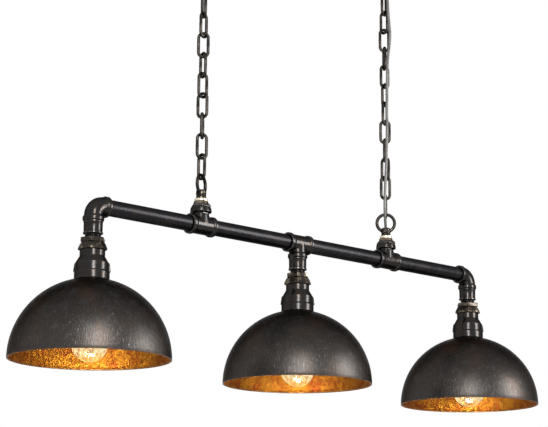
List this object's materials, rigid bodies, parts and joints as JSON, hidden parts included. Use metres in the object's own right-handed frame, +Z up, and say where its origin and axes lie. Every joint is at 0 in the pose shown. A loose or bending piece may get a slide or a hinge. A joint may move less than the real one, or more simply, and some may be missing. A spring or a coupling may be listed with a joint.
{
  "type": "pendant light",
  "caption": "Bar pendant: lamps with half-round metal shades under a bar of iron pipe and fittings, hung on chains from round ceiling canopies.",
  "frame": {"origin": "on the ceiling, midway between the two canopies", "axes": "+X along the bar, +Z up, +Y towards the back as the picture sees it"},
  "size_m": [1.152, 0.26, 0.8378],
  "materials": {
    "pipe_black": "satin black steel pipe",
    "iron_fitting": "rough blackened malleable iron",
    "chain_iron": "dark oiled steel wire",
    "loop_brass": "aged brass",
    "brass_thread": "bare threaded brass",
    "plated_nut": "bright plated",
    "strap_steel": "zinc plated",
    "canopy_black": "dark bronze, satin",
    "shade_bronze": "dark bronze outside, gold leaf inside",
    "cord_jacket": "dark round jacket",
    "wire_jacket": "insulated wire",
    "connector_plastic": "moulded plastic",
    "lampholder_black": "black phenolic",
    "contact_metal": "brass",
    "bulb_cap": "screw cap",
    "bulb_glass": "clear, lit",
    "filament": "glowing wire"
  },
  "bodies": {
    "ceiling": {"ceiling_straps": "strap_steel", "canopy_nipples": "brass_thread", "left_canopy": "canopy_black", "right_canopy": "canopy_black", "canopy_nuts": "plated_nut", "canopy_loops": "loop_brass", "supply_leads": "wire_jacket", "wire_connectors": "connector_plastic", "supply_cord_top": "cord_jacket"},
    "right_top": {"right_top_link": "chain_iron"},
    "right_run": {"right_chain": "chain_iron", "supply_cord_upper": "cord_jacket", "supply_cord_lower": "cord_jacket"},
    "right_bottom": {"right_bottom_link": "chain_iron"},
    "left_top": {"left_top_link": "chain_iron"},
    "left_run": {"left_chain": "chain_iron"},
    "left_bottom": {"left_bottom_link": "chain_iron"},
    "bar": {"supply_cord_end": "cord_jacket", "hanger_loops": "loop_brass", "hanger_nuts": "plated_nut", "hanger_nipples": "brass_thread", "hanger_bushings": "iron_fitting", "left_hanger_tee": "iron_fitting", "right_hanger_tee": "iron_fitting", "centre_tee": "iron_fitting", "left_elbow": "iron_fitting", "right_elbow": "iron_fitting", "left_end_pipe": "pipe_black", "left_middle_pipe": "pipe_black", "right_middle_pipe": "pipe_black", "right_end_pipe": "pipe_black", "bar_wires": "wire_jacket", "splice_connector": "connector_plastic", "lamp_nipples": "pipe_black", "couplings": "iron_fitting", "union_tailpieces": "iron_fitting", "lampholders": "lampholder_black", "screw_shells": "contact_metal", "centre_contacts": "contact_metal", "lock_nuts": "strap_steel", "shade_rings": "lampholder_black", "left_union_ring": "iron_fitting", "left_reducer": "iron_fitting", "left_shade": "shade_bronze", "middle_union_ring": "iron_fitting", "middle_reducer": "iron_fitting", "middle_shade": "shade_bronze", "right_union_ring": "iron_fitting", "right_reducer": "iron_fitting", "right_shade": "shade_bronze"},
    "left_bulb": {"left_bulb_cap": "bulb_cap", "left_bulb_glass": "bulb_glass", "left_filament": "filament"},
    "middle_bulb": {"middle_bulb_cap": "bulb_cap", "middle_bulb_glass": "bulb_glass", "middle_filament": "filament"},
    "right_bulb": {"right_bulb_cap": "bulb_cap", "right_bulb_glass": "bulb_glass", "right_filament": "filament"}
  },
  "joints": [
    {"name": "swing", "type": "hinge", "parent": "ceiling", "child": "right_top", "pos_m": [0.223, 0, -0.06785], "axis": [1, 0, 0], "range_deg": [-15, 15], "deforming": ["supply_cord_top"]},
    {"name": "sway", "type": "hinge", "parent": "right_top", "child": "right_run", "pos_m": [0.223, 0, -0.10385], "axis": [0, 1, 0], "range_deg": [-15, 15], "deforming": ["supply_cord_upper"]},
    {"name": "level", "type": "hinge", "parent": "right_run", "child": "right_bottom", "pos_m": [0.223, 0, -0.46385], "axis": [0, 1, 0], "range_deg": [-15, 15], "deforming": ["supply_cord_lower"]},
    {"name": "tilt", "type": "hinge", "parent": "right_bottom", "child": "bar", "pos_m": [0.223, 0, -0.49985], "axis": [1, 0, 0], "range_deg": [-10, 10], "deforming": ["supply_cord_end"]},
    {"name": "left_swing", "type": "hinge", "parent": "ceiling", "child": "left_top", "pos_m": [-0.223, 0, -0.06785], "axis": [1, 0, 0], "range_deg": [-15, 15]},
    {"name": "left_sway", "type": "hinge", "parent": "left_top", "child": "left_run", "pos_m": [-0.223, 0, -0.10385], "axis": [0, 1, 0], "range_deg": [-15, 15]},
    {"name": "left_level", "type": "hinge", "parent": "left_run", "child": "left_bottom", "pos_m": [-0.223, 0, -0.46385], "axis": [0, 1, 0], "range_deg": [-15, 15]},
    {"name": "left_bulb_out", "type": "slide", "parent": "bar", "child": "left_bulb", "axis": [0, 0, -1], "range_m": [0, 0.026]},
    {"name": "middle_bulb_out", "type": "slide", "parent": "bar", "child": "middle_bulb", "axis": [0, 0, -1], "range_m": [0, 0.026]},
    {"name": "right_bulb_out", "type": "slide", "parent": "bar", "child": "right_bulb", "axis": [0, 0, -1], "range_m": [0, 0.026]}
  ],
  "couplings": [
    {"joint": "level", "follows": "sway", "ratio": -1},
    {"joint": "left_swing", "follows": "swing", "ratio": 1},
    {"joint": "left_sway", "follows": "sway", "ratio": 1},
    {"joint": "left_level", "follows": "sway", "ratio": -1}
  ]
}
